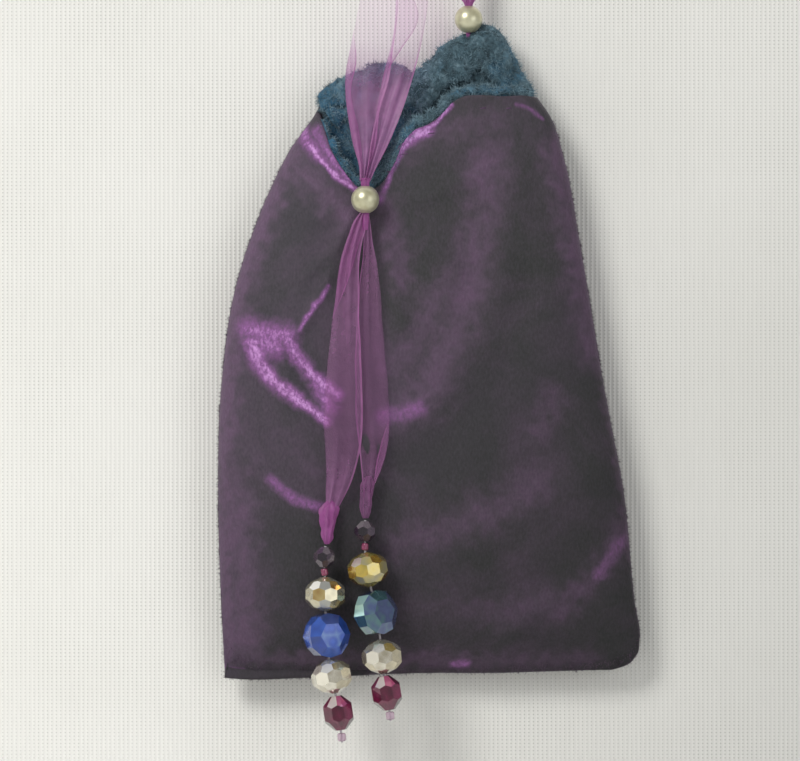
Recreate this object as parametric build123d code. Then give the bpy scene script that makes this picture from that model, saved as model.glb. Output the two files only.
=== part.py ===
from build123d import *
import math
import os

# A flat velvet drawstring pouch, modelled as it hangs from its ribbon loop.
# Millimetres, +Z up, +X to the viewer's right, the front of the pouch faces -Y.
# Sizes below are drawn with heights measured from the pouch's bottom edge; the finished
# pieces are moved down, so that the origin is the underside of the ribbon loop.

# ---------------------------------------------------------------- driving dimensions
LOOP_HEIGHT = 162.0  # underside of the ribbon loop above the pouch's bottom edge
BACK_Y = 4.0  # flat back face
FRONT_Y = -10.0  # deepest bulge of the front
SEAM_Y = 3.0  # plane where the front velvet meets the back velvet
VELVET_T = 1.0
LINING_T = 1.4
TOP_FRONT_Y = -6.0  # where the front face would be far above the mouth
FLAP_GAP = 0.3  # play round the part of the front that opens

HALF_CHORD = 52.0  # half the chord of the front's crosswise curve
BOTTOM_FRONT_Y = -0.5  # front face at the bottom seam
LOW_FRONT_Y = -5.4  # front face on its way from the bottom seam to the bulge
LOW_HEIGHT = 20.0
BELLY_HEIGHT = 50.0  # height of the deepest bulge
OVER_TOP = 150.0  # above every rim

HINGE_HEIGHT = 70.0  # the mouth's front opens from here up
HEM_HEIGHT = 126.0  # lower edge of the rolled rear hem
HEM_FRONT_Y = -0.2  # front of the rolled hem
VELVET_RIM_DROP = 1.0  # the back velvet ends this much below the hem's top

PEARL_R = 3.0
PEARL_BORE_R = 0.9
BUNDLE_R = 0.82  # ribbon gathered small enough to pass a pearl
STRAND_R = 1.0  # plain tube that stands for one ribbon strand
TAIL_R = 0.8
FRONT_PEARL = (-13.8, -11.4, 101.0)
REAR_PEARL = (8.3, 0.2, 139.9)
FRONT_PEARL_TRAVEL = 4.0
REAR_PEARL_TRAVEL = 8.0
BUNDLE_FOOT = 0.3  # gathered ribbon below the front pearl at its lowest
BUNDLE_HEAD = 0.9  # and above it at rest
FAN_GAP = 0.2  # between the rear pearl at its highest and the spreading ribbon
FAN_R = 2.3  # ribbon spreading out above the rear pearl
TACK_HEIGHT = 104.7  # where the ribbon is sewn to the front lip
TACK_R = 0.35
TACK_FRONT, TACK_BACK = 1.6, 6.5  # the tack's two ends behind the ribbon

STITCH_R = 0.25
STITCH_PITCH = 6.0
STITCH_INSET = 0.5
MOUTH_STITCH_DROP = 2.6  # mouth stitches below the lip's edge
HEM_STITCH_DROP = 1.5  # rear stitches below the rim
STITCH_PROUD = 0.2
SIDE_STITCH_REACH = 1.6  # side stitches in front of the seam's plane

THREAD_R = 0.25
BEAD_BORE_R = 0.30
BEAD_PLAY = 0.2  # free length at each end of a bead
FACET_DEPTH = 0.97  # facets cut this far into the round, as a share
SMOKY_SIZE = (4.3, 4.7)  # width and length along the thread
GOLD_SIZE = (8.6, 7.7)
BLUE_SIZE = (9.6, 9.9)
BLUE_THICKNESS = 5.8
CHAMPAGNE_SIZE = (8.4, 7.7)
GARNET_SIZE = (6.3, 7.7)
SPACER_SIZE = (1.5, 1.6)
STOPPER_SIZE = (1.9, 1.8)
SEED_ROUND = 0.25  # rounding of a seed's rims, as a share of its length
BLUE_TURN = {"left": 28.0, "right": 42.0}  # degrees that each table-cut bead hangs turned to the right
RIM_FACETS = 12
BEVELS = 6
TABLE_BEVEL = 55.0  # degrees that a bevel's face tips out of the bead's flat plane
TABLE_MARGIN = 2.3  # width of the bevels round the flat table

KNOT_R = 1.45
KNOT_NECK_R = 0.9
KNOT_BAND_R = 0.45
KNOT_CLEAR = 0.4  # between a tail's knot and the thread's own knot

# Outline of the pouch, (x, height). The neck narrows towards the mouth.
LEFT_EDGE = [(-24.0, 121.0), (-30.0, 111.9), (-38.6, 92.6), (-44.6, 62.6), (-45.4, 36.9), (-44.0, 0.0)]
CORNER = [(38.5, 0.0), (43.1, 1.9), (45.0, 6.5)]
RIGHT_EDGE = [(45.0, 6.5), (43.9, 20.0), (41.8, 36.9), (34.3, 79.7), (28.9, 109.7), (22.0, 123.5)]
REAR_RIM = [(22.0, 123.5), (18.2, 130.1), (14.9, 135.8), (12.2, 137.4), (7.0, 135.4)]
REAR_RIM += [(2.1, 131.6), (-3.0, 128.2), (-8.6, 130.2), (-18.2, 127.3), (-24.0, 121.0)]
# The front lip dips in a V where the ribbon hangs over it.
VELVET_LIP = [(-24.0, 119.5), (-21.4, 112.0), (-15.6, 105.4), (-12.0, 105.4), (-6.4, 112.0)]
VELVET_LIP += [(-4.3, 117.2), (2.1, 120.4), (4.7, 123.2), (24.0, 123.2)]
LINING_LIP = [(-24.0, 119.5), (-21.0, 112.8), (-15.6, 106.4), (-12.6, 107.0), (-8.2, 113.0)]
LINING_LIP += [(-6.2, 118.6), (0.8, 122.2), (3.6, 125.2), (24.0, 125.2)]
# The middle of the upper front, which comes forward when the mouth is pulled open.
FLAP = [(-31.0, HINGE_HEIGHT), (27.0, HINGE_HEIGHT), (15.5, OVER_TOP), (-14.0, OVER_TOP)]

# Ribbon strands between the two pearls, over the loop, (x, y, height).
STRAND_LEFT = [
    (-14.9, -11.4, 105.6),
    (-11.2, -7.4, 126.0),
    (-8.9, -0.95, 163.0),
    (8.3, -0.95, 163.0),
    (8.3, -0.95, 152.2),
]
STRAND_RIGHT = [
    (-12.7, -11.4, 105.6),
    (-9.6, -6.4, 124.0),
    (-8.3, 1.35, 163.0),
    (8.3, 1.35, 163.0),
    (8.3, 1.35, 152.2),
]
LOOP_R = 8.2  # the loop goes round a peg of about this size
# Ribbon tails below the front pearl.
TAIL_LEFT = [(-14.9, -11.4, 93.2), (-17.6, -11.4, 76.0), (-18.9, -11.4, 55.0), (-21.9, -11.4, 33.6)]
TAIL_RIGHT = [(-12.8, -11.4, 93.2), (-12.7, -11.4, 76.0), (-12.0, -11.4, 57.0), (-13.7, -11.4, 38.8)]
# Where one bead of a dangle ends and the next begins, (x, height), from the knot down.
DANGLE_Y = -11.8
DANGLE_LEFT = [(-22.3, 27.3), (-22.6, 22.6), (-22.3, 20.9), (-22.3, 13.2)]
DANGLE_LEFT += [(-21.7, 3.4), (-20.1, -4.2), (-18.9, -12.2), (-18.7, -14.5)]
DANGLE_RIGHT = [(-13.8, 32.8), (-13.8, 28.1), (-13.9, 26.2), (-12.6, 18.4)]
DANGLE_RIGHT += [(-10.5, 7.8), (-9.9, -0.2), (-8.6, -7.7), (-8.4, -9.9)]


# ---------------------------------------------------------------- helpers
def save(node, shape):
    """Write one node, with the origin at the loop."""
    export_step(Pos(0, 0, -LOOP_HEIGHT) * shape, os.path.join("parts", node + ".step"))


def front_face(outline):
    """A closed outline given as (x, height) becomes a face in the XZ plane."""
    return make_face(Plane.XZ * outline)


def slab(face, y_front, y_back):
    """Thicken a face in the XZ plane between two depths."""
    return Pos(0, y_back, 0) * extrude(face, amount=y_back - y_front, dir=(0, -1, 0))


def rod(start, end, radius):
    """A straight round bar between two points."""
    a, b = Vector(*start), Vector(*end)
    along = b - a
    plane = Plane(origin=a, z_dir=along.normalized())
    return extrude(plane * Circle(radius), amount=along.length)


def turn_of(points, i):
    """Half the turn at a route's inner point, and the shorter of its two runs."""
    before = points[i] - points[i - 1]
    after = points[i + 1] - points[i]
    return math.radians(before.get_angle(after)) / 2, min(before.length, after.length)


def tube(route, radius, tight=()):
    """A ribbon or cord's plain tube: straight runs joined by arcs, tight only round the loop."""
    points = [Vector(*p) for p in route]
    radii = []
    for i in range(1, len(points) - 1):
        half, run = turn_of(points, i)
        radii.append(LOOP_R if i in tight else 0.45 * run / math.tan(half))
    path = FilletPolyline(*points, radius=radii)
    section = Plane(origin=path @ 0, z_dir=path % 0) * Circle(radius)
    made = sweep(section, path=path)
    expected = math.pi * radius**2 * path.length
    print("radii", [round(r, 1) for r in radii], "length", round(path.length, 1), end=" ")
    print("volume ratio", round(made.volume / expected, 4))
    return made


# ---------------------------------------------------------------- pouch
def drawn_in(points, inset):
    """A curved edge's points, moved square to the edge towards the pouch's middle."""
    edge = Spline(*points)
    moved = []
    for point in points:
        way = edge % edge.param_at_point(point)
        moved.append((point[0] - way.Y * inset, point[1] + way.X * inset))
    return moved


def bag_outline(inset):
    """The pouch's flat outline, drawn in by a layer's depth and open far above the mouth."""
    left, right = drawn_in(LEFT_EDGE, inset), drawn_in(RIGHT_EDGE, inset)
    left[-1] = (left[-1][0], inset)
    slant = inset * math.sqrt(0.5)
    corner_middle = (CORNER[1][0] - slant, CORNER[1][1] + slant)
    corner = ThreePointArc((CORNER[0][0], inset), corner_middle, right[0])
    bottom = Line(left[-1], (CORNER[0][0], inset))
    neck = Polyline(right[-1], (right[-1][0], OVER_TOP), (left[0][0], OVER_TOP), left[0])
    return Plane.XZ * make_face(Spline(*left) + bottom + corner + Spline(*right) + neck)


def below(edge, reach=60.0):
    """Everything under a lip or rim line, as a thick block."""
    left, right = edge[0], edge[-1]
    points = [(-reach, -reach), (-reach, left[1]), *edge, (reach, right[1]), (reach, -reach)]
    return slab(front_face(Polyline(*points, close=True)), -reach, reach)


def core(inset, back):
    """The pouch's filled shape inside a layer, from its curved front to a flat back."""
    front = ThreePointArc((-HALF_CHORD, SEAM_Y), (0, FRONT_Y + inset), (HALF_CHORD, SEAM_Y))
    left, right = (-HALF_CHORD, SEAM_Y), (HALF_CHORD, SEAM_Y)
    behind = Polyline(right, (HALF_CHORD, BACK_Y), (-HALF_CHORD, BACK_Y), left)
    crosswise = make_face(front + behind)
    lens = Pos(0, 0, -HALF_CHORD) * extrude(crosswise, amount=OVER_TOP + 2 * HALF_CHORD, dir=(0, 0, 1))
    low = (BOTTOM_FRONT_Y + inset, 0)
    belly = (FRONT_Y + inset, BELLY_HEIGHT)
    side = ThreePointArc(low, (LOW_FRONT_Y + inset, LOW_HEIGHT), belly)
    side += Polyline(belly, (TOP_FRONT_Y + inset, OVER_TOP), (BACK_Y, OVER_TOP), (BACK_Y, 0), low)
    lengthwise = extrude(Plane.YZ * make_face(side), amount=HALF_CHORD, both=True)
    return slab(bag_outline(inset), FRONT_Y, back) & lens & lengthwise


def flap_block(play):
    """The block that parts the opening front from the rest, drawn in or out by the play."""
    face = make_face(Polyline(*FLAP, close=True))
    face = offset(face, amount=play, kind=Kind.INTERSECTION)
    return slab(Plane.XZ * face, 2 * FRONT_Y, SEAM_Y)


def rear_panel(inset, y_front, y_back, rim):
    """One flat layer of the back, up to its rim."""
    return slab(bag_outline(inset), y_front, y_back) & below(rim)


def front_at(height):
    """Depth of the front face over the belly, near the middle of the pouch."""
    share = (height - BELLY_HEIGHT) / (OVER_TOP - BELLY_HEIGHT)
    return FRONT_Y + (TOP_FRONT_Y - FRONT_Y) * share


def stitches(points):
    """A row of stitches, each a short thread through the cloth, from (x, height, front, back)."""
    return Compound(children=[rod((x, f, h), (x, b, h), STITCH_R) for x, h, f, b in points])


def along_edge(edge, start, end, inset):
    """Evenly spaced points along a curved edge, drawn in by the inset; the pouch is on its left."""
    count = round(edge.length * (end - start) / STITCH_PITCH)
    points = []
    for i in range(count + 1):
        t = start + (end - start) * i / count
        at, way = edge @ t, edge % t
        points.append((at.X - way.Y * inset, at.Y + way.X * inset))
    return points


def make_pouch():
    outer, middle = core(0, SEAM_Y), core(VELVET_T, SEAM_Y)
    lining_back_y = SEAM_Y - LINING_T
    lining_outer = core(VELVET_T, lining_back_y)
    inner = core(VELVET_T + LINING_T, lining_back_y)
    half = FLAP_GAP / 2
    velvet = (outer - middle) & below(VELVET_LIP)
    lining = (lining_outer - inner) & below(LINING_LIP)
    hem_line = below([(-24.0, HEM_HEIGHT), (24.0, HEM_HEIGHT)])
    velvet_rim = [(x, h - VELVET_RIM_DROP) for x, h in reversed(REAR_RIM)]
    rim = list(reversed(REAR_RIM))
    save("velvet_front_panel", velvet - flap_block(half))
    save("velvet_front_lip", velvet & flap_block(-half))
    save("lining_front_panel", lining - flap_block(half))
    save("lining_front_lip", lining & flap_block(-half))
    save("velvet_back_panel", rear_panel(0, SEAM_Y, BACK_Y, velvet_rim))
    save("lining_back_panel", rear_panel(VELVET_T, lining_back_y, SEAM_Y, rim) & hem_line)
    hem = rear_panel(VELVET_T, HEM_FRONT_Y, SEAM_Y, rim) - hem_line
    x, y, h = REAR_PEARL
    save("lining_rear_hem", hem - rod((x, y, HEM_HEIGHT), (x, y, h), BUNDLE_R))


def make_stitches():
    side_front = SEAM_Y - SIDE_STITCH_REACH
    left, right = Spline(*LEFT_EDGE), Spline(*RIGHT_EDGE)
    bottom = Line(LEFT_EDGE[-1], CORNER[0])
    rows = {
        "left_side_seam": along_edge(left, 0.04, 0.97, STITCH_INSET),
        "right_side_seam": along_edge(right, 0.03, 0.96, STITCH_INSET),
        "bottom_seam": along_edge(bottom, 0.03, 0.97, STITCH_INSET),
    }
    for node, points in rows.items():
        save(node, stitches([(x, h, side_front, BACK_Y) for x, h in points]))
    lip = [(-17.6, 107.7), (-8.4, 109.7), (-5.4, 114.6), (0.2, 119.5)]
    lip += [(5.8, 123.2), (11.2, 123.2), (16.6, 123.2)]
    points = []
    for x, h in lip:
        height = h - MOUTH_STITCH_DROP
        front = front_at(height)
        points.append((x, height, front - STITCH_PROUD, front + VELVET_T + LINING_T + STITCH_PROUD))
    save("front_lip_stitches", stitches(points))
    rear = [(-17.0, 127.4), (-11.5, 129.4), (-6.0, 129.0), (0.0, 129.8), (14.5, 135.8), (18.4, 129.6)]
    points = [(x, h - HEM_STITCH_DROP, SEAM_Y - LINING_T, BACK_Y) for x, h in rear]
    save("rear_hem_stitches", stitches(points))


# ---------------------------------------------------------------- ribbon and pearls
def pearl(centre):
    x, y, h = centre
    ball = Pos(x, y, h) * Sphere(PEARL_R)
    return ball - rod((x, y, h - PEARL_R), (x, y, h + PEARL_R), PEARL_BORE_R)


def make_ribbon():
    x, y, h = FRONT_PEARL
    bundle_foot = h - PEARL_R - FRONT_PEARL_TRAVEL - BUNDLE_FOOT
    bundle_head = h + PEARL_R + BUNDLE_HEAD
    save("front_ribbon_gather", rod((x, y, bundle_foot), (x, y, bundle_head), BUNDLE_R))
    tack = rod((x, y + TACK_FRONT, TACK_HEIGHT), (x, y + TACK_BACK, TACK_HEIGHT), TACK_R)
    save("front_ribbon_tack", tack)
    save("front_pearl", pearl(FRONT_PEARL))
    x, y, h = REAR_PEARL
    fan_height = h + PEARL_R + REAR_PEARL_TRAVEL + FAN_GAP
    gather = rod((x, y, HEM_HEIGHT), (x, y, fan_height), BUNDLE_R)
    gather += rod((x, y, fan_height), (x, y, STRAND_LEFT[-1][2]), FAN_R)
    save("rear_ribbon_gather", gather)
    save("rear_pearl", pearl(REAR_PEARL))
    save("neck_ribbon_left", tube(STRAND_LEFT, STRAND_R, tight=(2, 3)))
    save("neck_ribbon_right", tube(STRAND_RIGHT, STRAND_R, tight=(2, 3)))


def tail_knot(top, foot):
    """The ribbon's end, drawn together and tied: a plump knot with a short neck."""
    x, y, h = top
    neck = rod((x, y, h), (x, y, foot + KNOT_R), KNOT_NECK_R)
    ball = Pos(x, y, foot + KNOT_R) * Sphere(KNOT_R)
    band = Pos(x, y, foot + 0.55 * (h - foot)) * Torus(KNOT_NECK_R, KNOT_BAND_R)
    return neck + ball + band


def make_tails():
    for side, route, dangle in (("left", TAIL_LEFT, DANGLE_LEFT), ("right", TAIL_RIGHT, DANGLE_RIGHT)):
        save("tail_ribbon_" + side, tube(route, TAIL_R))
        save("tail_knot_" + side, tail_knot(route[-1], dangle[0][1] + KNOT_CLEAR))


# ---------------------------------------------------------------- beads
def facet(solid, normal, distance):
    """Grind one flat facet on a bead."""
    way = Vector(*normal).normalized()
    return split(solid, bisect_by=Plane(origin=way * distance, z_dir=way), keep=Keep.BOTTOM)


def round_bead(size, around, rows):
    """A fire-polished bead: rows of facets round its axis, flat at both holes."""
    a, b = size[0] / 2, size[1] / 2 - BEAD_PLAY
    bead = Cylinder(size[0], 2 * b)
    for latitude, shift in rows:
        lat = math.radians(latitude)
        reach = math.hypot(a * math.cos(lat), b * math.sin(lat))
        for i in range(around):
            turn = 2 * math.pi * (i + shift) / around
            normal = (math.cos(lat) * math.cos(turn), math.cos(lat) * math.sin(turn), math.sin(lat))
            bead = facet(bead, normal, reach * FACET_DEPTH)
    return bead


def table_bead(size, thickness):
    """A table-cut bead: a flat window on the front and the back, and broad bevels to a round rim."""
    a, b, c = size[0] / 2, size[1] / 2 - BEAD_PLAY, thickness / 2
    bead = Box(2 * a, thickness, 2 * b)
    for i in range(RIM_FACETS):
        turn = 2 * math.pi * (i + 0.5) / RIM_FACETS
        x, z = math.cos(turn), math.sin(turn)
        bead = facet(bead, (x, 0, z), math.hypot(a * x, b * z) * FACET_DEPTH)
    bevel = math.radians(TABLE_BEVEL)
    for i in range(BEVELS):
        turn = 2 * math.pi * (i + 0.5) / BEVELS
        x, z = math.cos(turn), math.sin(turn)
        reach = (math.hypot(a * x, b * z) - TABLE_MARGIN) * math.cos(bevel) + c * math.sin(bevel)
        for side in (-1, 1):
            bead = facet(bead, (x * math.cos(bevel), side * math.sin(bevel), z * math.cos(bevel)), reach)
    return bead


def seed_bead(size):
    """A tiny rounded glass ring."""
    bead = Cylinder(size[0] / 2, size[1])
    return fillet(bead.edges().filter_by(GeomType.CIRCLE), size[1] * SEED_ROUND)


def bead_shapes():
    rows = [(0, 0), (42, 0.5), (-42, 0.5), (66, 0), (-66, 0)]
    smoky = round_bead(SMOKY_SIZE, 7, rows[:3])
    gold = round_bead(GOLD_SIZE, 10, rows)
    blue = table_bead(BLUE_SIZE, BLUE_THICKNESS)
    champagne = round_bead(CHAMPAGNE_SIZE, 9, rows)
    garnet = round_bead(GARNET_SIZE, 8, rows[:3])
    spacer, stopper = seed_bead(SPACER_SIZE), seed_bead(STOPPER_SIZE)
    names = ["smoky_bead", "spacer_seed", "gold_bead", "blue_bead"]
    names += ["champagne_bead", "garnet_bead", "stopper_seed"]
    return list(zip(names, [smoky, spacer, gold, blue, champagne, garnet, stopper]))


def make_dangles():
    shapes = bead_shapes()
    for side, joints in (("left", DANGLE_LEFT), ("right", DANGLE_RIGHT)):
        ends = [(x, DANGLE_Y, h) for x, h in joints]
        thread = Solid()
        for (name, shape), upper, lower in zip(shapes, ends, ends[1:]):
            a, b = Vector(*upper), Vector(*lower)
            place = Plane(origin=(a + b) / 2, x_dir=(1, 0, -(a - b).X / (a - b).Z), z_dir=a - b)
            bore = rod(upper, lower, BEAD_BORE_R)
            turned = Rot(0, 0, BLUE_TURN[side]) * shape if name == "blue_bead" else shape
            save(name + "_" + side, place * turned - bore)
            piece = rod(upper, lower, THREAD_R) + Pos(*upper) * Sphere(THREAD_R)
            thread = piece if not thread else thread + piece
        save("bead_thread_" + side, thread + Pos(*ends[-1]) * Sphere(2 * THREAD_R))


os.makedirs("parts", exist_ok=True)
make_pouch()
make_stitches()
make_ribbon()
make_tails()
make_dangles()
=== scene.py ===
import math

import bmesh
import bpy
import numpy as np
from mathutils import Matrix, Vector, noise


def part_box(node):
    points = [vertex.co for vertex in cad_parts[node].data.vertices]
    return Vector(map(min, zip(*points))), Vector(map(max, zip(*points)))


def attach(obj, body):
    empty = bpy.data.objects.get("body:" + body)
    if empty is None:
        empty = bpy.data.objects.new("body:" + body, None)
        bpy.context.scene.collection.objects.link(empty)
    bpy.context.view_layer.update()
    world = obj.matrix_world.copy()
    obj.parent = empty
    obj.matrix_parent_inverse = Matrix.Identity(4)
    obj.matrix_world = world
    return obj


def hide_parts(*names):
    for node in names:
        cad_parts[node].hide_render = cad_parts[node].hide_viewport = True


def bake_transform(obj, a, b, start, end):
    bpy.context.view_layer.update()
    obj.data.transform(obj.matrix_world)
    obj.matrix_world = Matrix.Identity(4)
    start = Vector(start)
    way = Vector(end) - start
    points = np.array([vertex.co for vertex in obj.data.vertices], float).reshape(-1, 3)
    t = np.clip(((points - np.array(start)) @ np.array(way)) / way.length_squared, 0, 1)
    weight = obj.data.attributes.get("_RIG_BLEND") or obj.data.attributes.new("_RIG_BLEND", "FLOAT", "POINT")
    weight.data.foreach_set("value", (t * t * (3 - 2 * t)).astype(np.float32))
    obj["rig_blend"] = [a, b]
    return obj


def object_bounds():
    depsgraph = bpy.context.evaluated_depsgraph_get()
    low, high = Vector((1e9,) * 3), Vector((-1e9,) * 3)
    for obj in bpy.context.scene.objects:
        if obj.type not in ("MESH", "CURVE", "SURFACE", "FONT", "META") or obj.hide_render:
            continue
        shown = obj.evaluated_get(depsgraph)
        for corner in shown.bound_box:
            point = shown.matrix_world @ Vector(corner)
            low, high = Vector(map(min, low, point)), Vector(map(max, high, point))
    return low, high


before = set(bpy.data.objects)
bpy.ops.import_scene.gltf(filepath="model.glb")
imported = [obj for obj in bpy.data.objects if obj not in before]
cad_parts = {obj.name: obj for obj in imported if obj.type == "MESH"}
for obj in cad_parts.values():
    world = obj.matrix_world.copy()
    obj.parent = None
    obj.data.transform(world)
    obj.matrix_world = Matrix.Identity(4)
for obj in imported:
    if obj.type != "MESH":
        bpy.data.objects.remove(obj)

CAD_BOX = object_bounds()
MM = 0.001
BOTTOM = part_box("velvet_back_panel")[0].z  # the pouch's bottom edge, in the row frame


def middle(node):
    low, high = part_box(node)
    return (low + high) / 2


def at(x, h, y=0.0):
    """A point from millimetres: across, height above the pouch's bottom edge, depth."""
    return Vector((x * MM, y * MM, BOTTOM + h * MM))


def smoothstep(t):
    t = np.clip(t, 0.0, 1.0)
    return t * t * (3 - 2 * t)


# ---------------------------------------------------------------- camera, light, stage
VIEW_WIDTH = 171.4 * MM  # what the picture is wide at the pouch
VIEW_CENTRE = at(-6.4, 62.5)
CAMERA_DISTANCE = 1.6
SENSOR = 36.0
GLOW_REACH = 80 * MM  # over which the window's light changes


def make_camera():
    data = bpy.data.cameras.new("camera")
    data.sensor_width = SENSOR
    data.lens = SENSOR * CAMERA_DISTANCE / VIEW_WIDTH
    data.clip_start, data.clip_end = 0.05, 20
    camera = bpy.data.objects.new("camera", data)
    camera.location = VIEW_CENTRE + Vector((0, -CAMERA_DISTANCE, 0))
    camera.rotation_euler = (math.pi / 2, 0, 0)
    bpy.context.collection.objects.link(camera)
    bpy.context.scene.camera = camera


def area_light(name, location, size, energy, colour=(1, 1, 1)):
    data = bpy.data.lights.new(name, "AREA")
    data.shape, data.size, data.energy, data.color = "DISK", size, energy, colour
    light = bpy.data.objects.new(name, data)
    light.location = location
    light.rotation_euler = (VIEW_CENTRE - light.location).to_track_quat("-Z", "Y").to_euler()
    bpy.context.collection.objects.link(light)


def make_lights():
    area_light("key", VIEW_CENTRE + Vector((-0.42, -0.62, 0.50)), 0.36, 4.4, (1.0, 0.99, 0.96))
    area_light("fill", VIEW_CENTRE + Vector((0.60, -0.70, 0.15)), 0.60, 1.1, (0.97, 0.98, 1.0))
    area_light("back_fill", VIEW_CENTRE + Vector((0.20, 0.90, 0.40)), 0.70, 2.6)
    world = bpy.data.worlds.new("studio")
    world.use_nodes = True
    background = world.node_tree.nodes["Background"]
    background.inputs["Color"].default_value = (0.93, 0.94, 0.95, 1)
    background.inputs["Strength"].default_value = 0.42
    bpy.context.scene.world = world
    bpy.context.scene.view_settings.view_transform = "Standard"


# ---------------------------------------------------------------- material helpers
class Shader:
    """One node tree, with short calls for the nodes that every material here needs."""

    def __init__(self, name):
        self.material = bpy.data.materials.new(name)
        self.material.use_nodes = True
        self.nodes, self.links = self.material.node_tree.nodes, self.material.node_tree.links
        self.bsdf = self.nodes["Principled BSDF"]
        self.place = self.nodes.new("ShaderNodeTexCoord").outputs["Object"]

    def put(self, socket, value):
        if isinstance(value, bpy.types.NodeSocket):
            self.links.new(value, socket)
        else:
            socket.default_value = value

    def set(self, **values):
        for name, value in values.items():
            self.put(self.bsdf.inputs[name.replace("_", " ")], value)
        return self

    def noise(self, scale, detail=4.0, roughness=0.55, distortion=0.0, stretch=None):
        node = self.nodes.new("ShaderNodeTexNoise")
        node.inputs["Scale"].default_value = scale
        node.inputs["Detail"].default_value = detail
        node.inputs["Roughness"].default_value = roughness
        node.inputs["Distortion"].default_value = distortion
        place = self.place
        if stretch:
            mapping = self.nodes.new("ShaderNodeMapping")
            mapping.inputs["Scale"].default_value = stretch
            self.links.new(place, mapping.inputs["Vector"])
            place = mapping.outputs["Vector"]
        self.links.new(place, node.inputs["Vector"])
        return node.outputs["Fac"]

    def cells(self, scale):
        node = self.nodes.new("ShaderNodeTexVoronoi")
        node.inputs["Scale"].default_value = scale
        self.links.new(self.place, node.inputs["Vector"])
        return node

    def ramp(self, factor, *stops):
        node = self.nodes.new("ShaderNodeValToRGB")
        elements = node.color_ramp.elements
        while len(elements) < len(stops):
            elements.new(0.5)
        for element, (position, colour) in zip(elements, stops):
            element.position = position
            element.color = (*colour, 1) if hasattr(colour, "__len__") else (colour,) * 3 + (1,)
        self.links.new(factor, node.inputs["Fac"])
        return node.outputs["Color"]

    def mix(self, factor, a, b, how="MIX"):
        node = self.nodes.new("ShaderNodeMix")
        node.data_type, node.blend_type = "RGBA", how
        self.put(node.inputs[0], factor)
        for socket, value in ((node.inputs[6], a), (node.inputs[7], b)):
            self.put(socket, value if isinstance(value, bpy.types.NodeSocket) else (*value, 1))
        return node.outputs[2]

    def math(self, how, a, b=0.0):
        node = self.nodes.new("ShaderNodeMath")
        node.operation = how
        self.put(node.inputs[0], a)
        self.put(node.inputs[1], b)
        return node.outputs[0]

    def place_in_view(self):
        """How far right and up from the view's centre a point is, in shares of GLOW_REACH."""
        split = self.nodes.new("ShaderNodeSeparateXYZ")
        self.links.new(self.place, split.inputs["Vector"])
        aside = self.math("DIVIDE", split.outputs["X"], GLOW_REACH)
        above = self.math("SUBTRACT", split.outputs["Z"], VIEW_CENTRE.z)
        return aside, self.math("DIVIDE", above, GLOW_REACH)

    def window_light(self, sideways, upwards, middle_level, lowest, highest):
        """A factor that changes over the view as the window's light does, within two limits."""
        glow = self.math("ADD", self.math("MULTIPLY", sideways[0], sideways[1]), upwards)
        glow = self.math("MAXIMUM", self.math("ADD", glow, middle_level), lowest)
        return self.math("MINIMUM", glow, highest)

    def painted(self, name):
        node = self.nodes.new("ShaderNodeAttribute")
        node.attribute_name = name
        return node.outputs["Fac"]

    def bump(self, height, strength, distance):
        node = self.nodes.new("ShaderNodeBump")
        node.inputs["Strength"].default_value = strength
        node.inputs["Distance"].default_value = distance
        self.links.new(height, node.inputs["Height"])
        self.links.new(node.outputs["Normal"], self.bsdf.inputs["Normal"])


KNIT_COLUMN = 0.96 * MM
KNIT_ROW = 0.78 * MM


def wall_material():
    """Pale knitted backdrop that shows only from its front, so that the back views stay open."""
    s = Shader("backdrop")
    split = s.nodes.new("ShaderNodeSeparateXYZ")
    s.links.new(s.place, split.inputs["Vector"])
    across = s.math("SINE", s.math("MULTIPLY", split.outputs["X"], 2 * math.pi / KNIT_COLUMN))
    up = s.math("SINE", s.math("MULTIPLY", split.outputs["Z"], 2 * math.pi / KNIT_ROW))
    between = s.ramp(across, (0.55, 0.0), (0.95, 1.0))
    holes = s.math("MULTIPLY", between, s.ramp(up, (0.25, 0.0), (0.9, 1.0)))
    holes = s.math("MULTIPLY", holes, s.ramp(s.noise(40, 3), (0.3, 0.35), (0.7, 1.0)))
    cloth = s.ramp(s.noise(14.0, 4.0), (0.3, (0.74, 0.735, 0.70)), (0.7, (0.79, 0.785, 0.755)))
    aside, above = s.place_in_view()
    falling = s.math("SUBTRACT", s.math("MULTIPLY", above, 0.06), 0.09)
    glow = s.window_light((aside, falling), 0.0, 1.03, 0.82, 1.18)
    cloth = s.mix(1.0, s.mix(holes, cloth, (0.36, 0.36, 0.33)), glow, "MULTIPLY")
    s.set(Base_Color=cloth, Roughness=0.92)
    s.bump(across, 0.25, 0.0002)
    output = s.nodes["Material Output"]
    facing = s.nodes.new("ShaderNodeNewGeometry").outputs["Backfacing"]
    clear = s.nodes.new("ShaderNodeBsdfTransparent").outputs[0]
    mixer = s.nodes.new("ShaderNodeMixShader")
    shadow = s.nodes.new("ShaderNodeLightPath").outputs["Is Shadow Ray"]
    s.links.new(s.math("MAXIMUM", facing, shadow), mixer.inputs[0])
    s.links.new(s.bsdf.outputs[0], mixer.inputs[1])
    s.links.new(clear, mixer.inputs[2])
    s.links.new(mixer.outputs[0], output.inputs["Surface"])
    return s.material


def floor_material():
    s = Shader("pale_floor")
    s.set(Base_Color=(0.78, 0.78, 0.77, 1), Roughness=0.85)
    return s.material


WALL_GAP = 4.0 * MM
FLOOR_DROP = 60 * MM
STAGE_REACH = 1.6


def plane(name, corners, material):
    mesh = bpy.data.meshes.new(name)
    mesh.from_pydata([tuple(c) for c in corners], [], [(0, 1, 2, 3)])
    mesh.materials.append(material)
    made = bpy.data.objects.new(name, mesh)
    bpy.context.collection.objects.link(made)
    return made


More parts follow.
